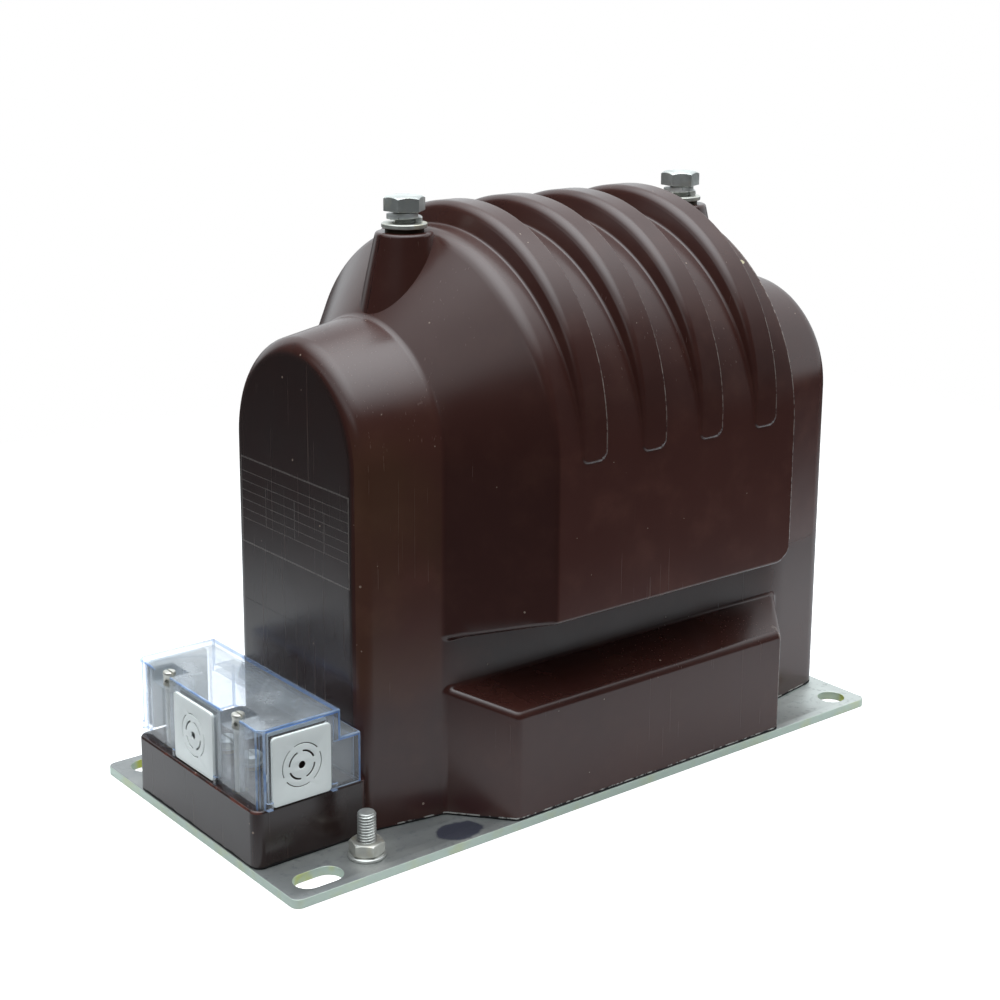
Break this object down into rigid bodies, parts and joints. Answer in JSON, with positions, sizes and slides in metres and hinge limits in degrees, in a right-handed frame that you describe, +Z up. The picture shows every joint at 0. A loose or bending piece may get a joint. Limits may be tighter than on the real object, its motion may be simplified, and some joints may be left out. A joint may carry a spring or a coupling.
{
  "type": "cast resin voltage transformer",
  "caption": "Indoor cast resin voltage transformer with two line terminals on top, a ribbed housing, a steel base plate and a low-voltage box with a clear cover.",
  "frame": {"origin": "centre of the object's bounding box at the base plate's underside, z = 0 on the mounting surface", "axes": "+X along the winding axis and the long side of the plate, away from the low-voltage box; +Z up through the line terminals; the earth stud is at -X, -Y"},
  "size_m": [0.336, 0.183, 0.2642],
  "materials": {
    "cast_resin": "semi-gloss cast epoxy",
    "zinc_plate": "zinc plated, passivated, satin",
    "bright_zinc": "bright zinc plated",
    "brass": "turned",
    "insert_steel": "turned",
    "clear_cover": "clear moulded polycarbonate",
    "white_panel": "smooth moulded",
    "core_steel": "cut wound core",
    "band_steel": "rolled strip",
    "copper": "bare copper",
    "enamelled_copper": "impregnated wire layers",
    "shield_foil": "thin foil",
    "pressboard": "varnished board"
  },
  "bodies": {
    "root": {"base_plate": "zinc_plate", "resin_body": "cast_resin", "core_half_front": "core_steel", "core_half_rear": "core_steel", "core_band": "band_steel", "core_earth_strap": "copper", "coil_former": "pressboard", "secondary_winding_inner": "enamelled_copper", "secondary_winding_outer": "enamelled_copper", "barrier_tube": "pressboard", "winding_shield": "shield_foil", "primary_winding": "enamelled_copper", "hv_leads": "copper", "hv_terminal_inserts": "brass", "hv_flat_washers": "bright_zinc", "hv_spring_washers": "bright_zinc", "hv_terminal_bolts": "bright_zinc", "lv_leads_inner": "copper", "lv_leads_outer": "copper", "lv_terminal_inserts": "brass", "lv_terminal_washers": "bright_zinc", "lv_terminal_screws": "bright_zinc", "terminal_cover": "clear_cover", "entry_panel_end": "white_panel", "entry_panel_front": "white_panel", "entry_panel_back": "white_panel", "cover_screw_inserts": "brass", "cover_screws": "bright_zinc", "base_screw_inserts": "insert_steel", "base_screws": "bright_zinc", "earth_stud": "bright_zinc", "earth_washer": "bright_zinc", "earth_nut": "bright_zinc"}
  },
  "joints": []
}
